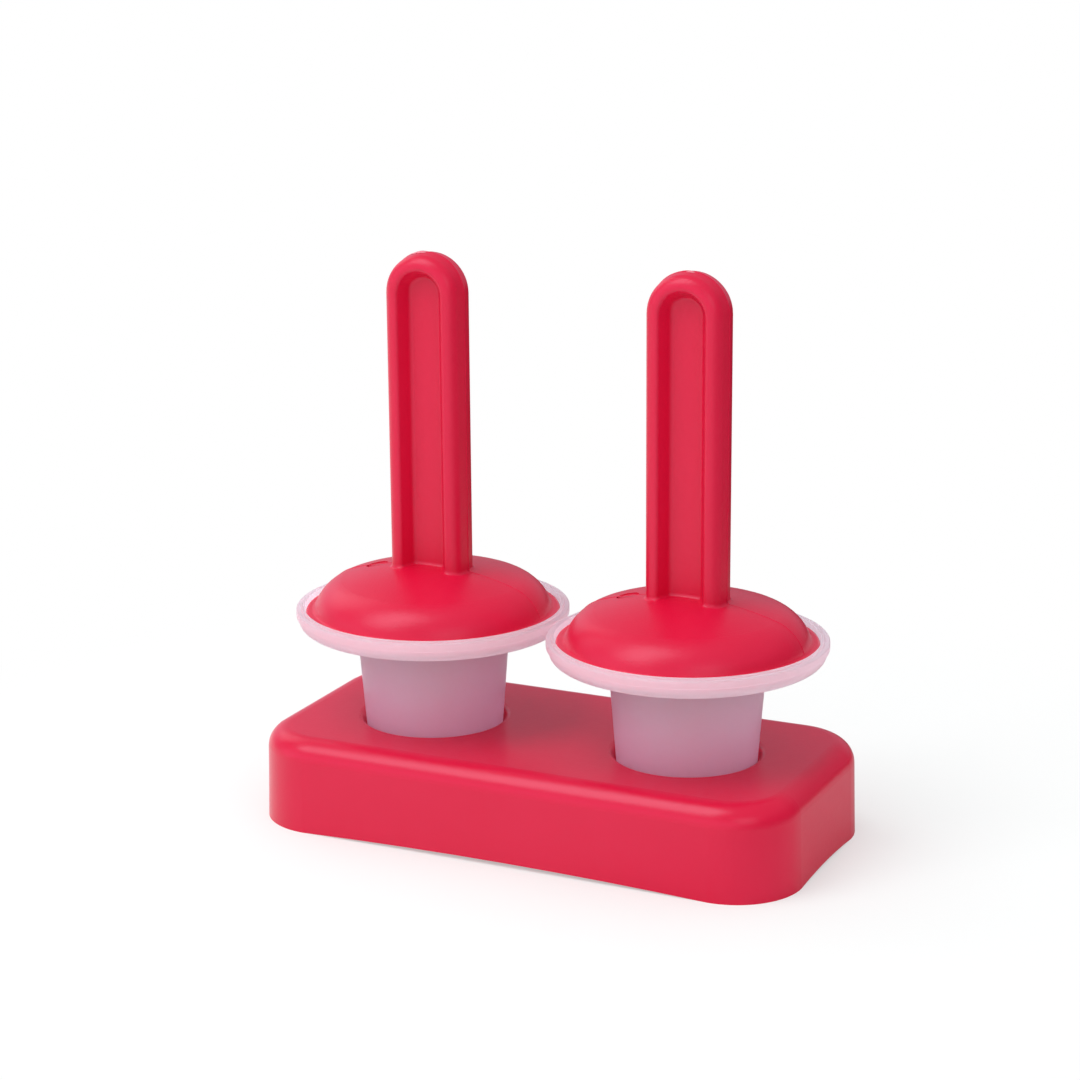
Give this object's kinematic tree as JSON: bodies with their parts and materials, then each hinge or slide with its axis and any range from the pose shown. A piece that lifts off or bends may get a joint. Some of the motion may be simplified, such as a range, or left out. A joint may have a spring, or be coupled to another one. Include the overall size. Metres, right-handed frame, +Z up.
{
  "type": "ice pop mold",
  "caption": "Stand with wells that hold saucer-rimmed freezing cups, each closed by a one-piece lid with an upright handle, a drip dome and a stick that the ice grips.",
  "frame": {"origin": "on the ground under the middle of the stand", "axes": "+X along the stand from one cup to the other, -Y to the front, +Z up along the handles"},
  "size_m": [0.1446, 0.07, 0.1438],
  "materials": {
    "red_plastic": "satin, very fine grain",
    "frosted_plastic": "frosted, lets light through"
  },
  "bodies": {
    "root": {"stand_base": "red_plastic", "cup_left": "frosted_plastic", "cup_right": "frosted_plastic", "handle_lid_left": "red_plastic", "handle_lid_right": "red_plastic"}
  },
  "joints": []
}
